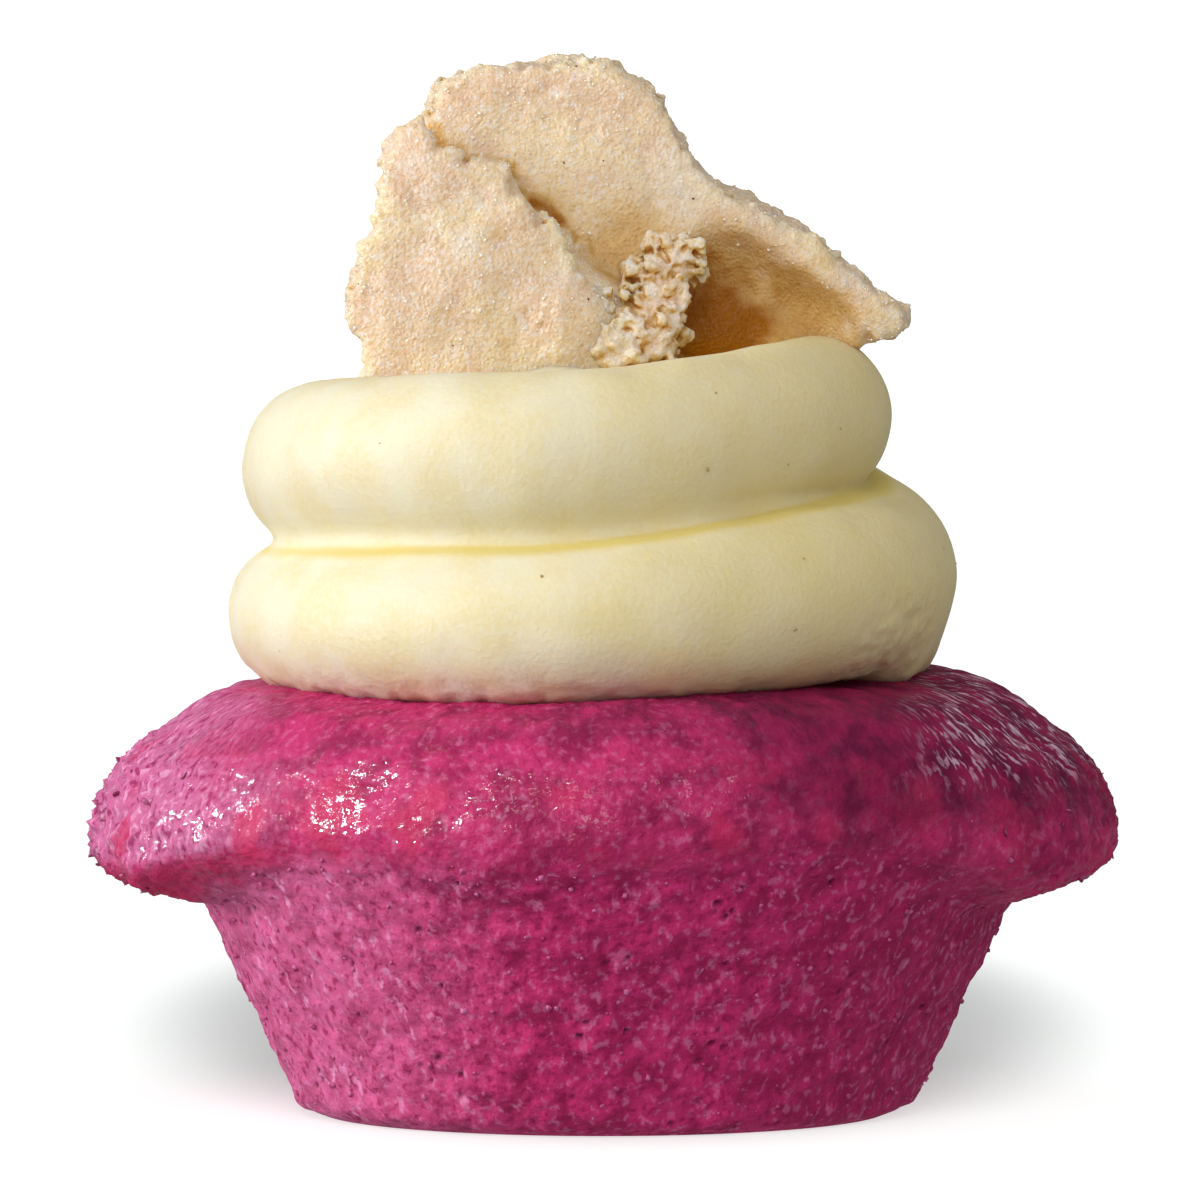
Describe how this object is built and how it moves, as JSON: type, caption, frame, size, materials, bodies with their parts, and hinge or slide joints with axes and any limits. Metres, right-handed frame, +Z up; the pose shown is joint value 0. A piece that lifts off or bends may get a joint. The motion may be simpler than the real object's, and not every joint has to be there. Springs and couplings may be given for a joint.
{
  "type": "cupcake",
  "caption": "Bite-size cupcake without a paper case: magenta sponge with a wide lip, a piped swirl of pale-yellow icing and a torn chunk of cookie dough on top.",
  "frame": {"origin": "centre of the sponge's flat base, which stands on the table", "axes": "+Z up; -Y is the front that the picture shows; +X is to the right in it"},
  "size_m": [0.0444, 0.0415, 0.0457],
  "materials": {
    "sponge": "magenta sponge cake, sticky pitted skin on the crown and lip, fine open crumb on the side",
    "icing": "smooth pale-yellow icing with a soft sheen",
    "cookie_dough": "raw cookie dough, grainy with sugar, slightly translucent"
  },
  "bodies": {
    "root": {"sponge": "sponge", "icing": "icing", "dough_chunk": "cookie_dough"}
  },
  "joints": []
}
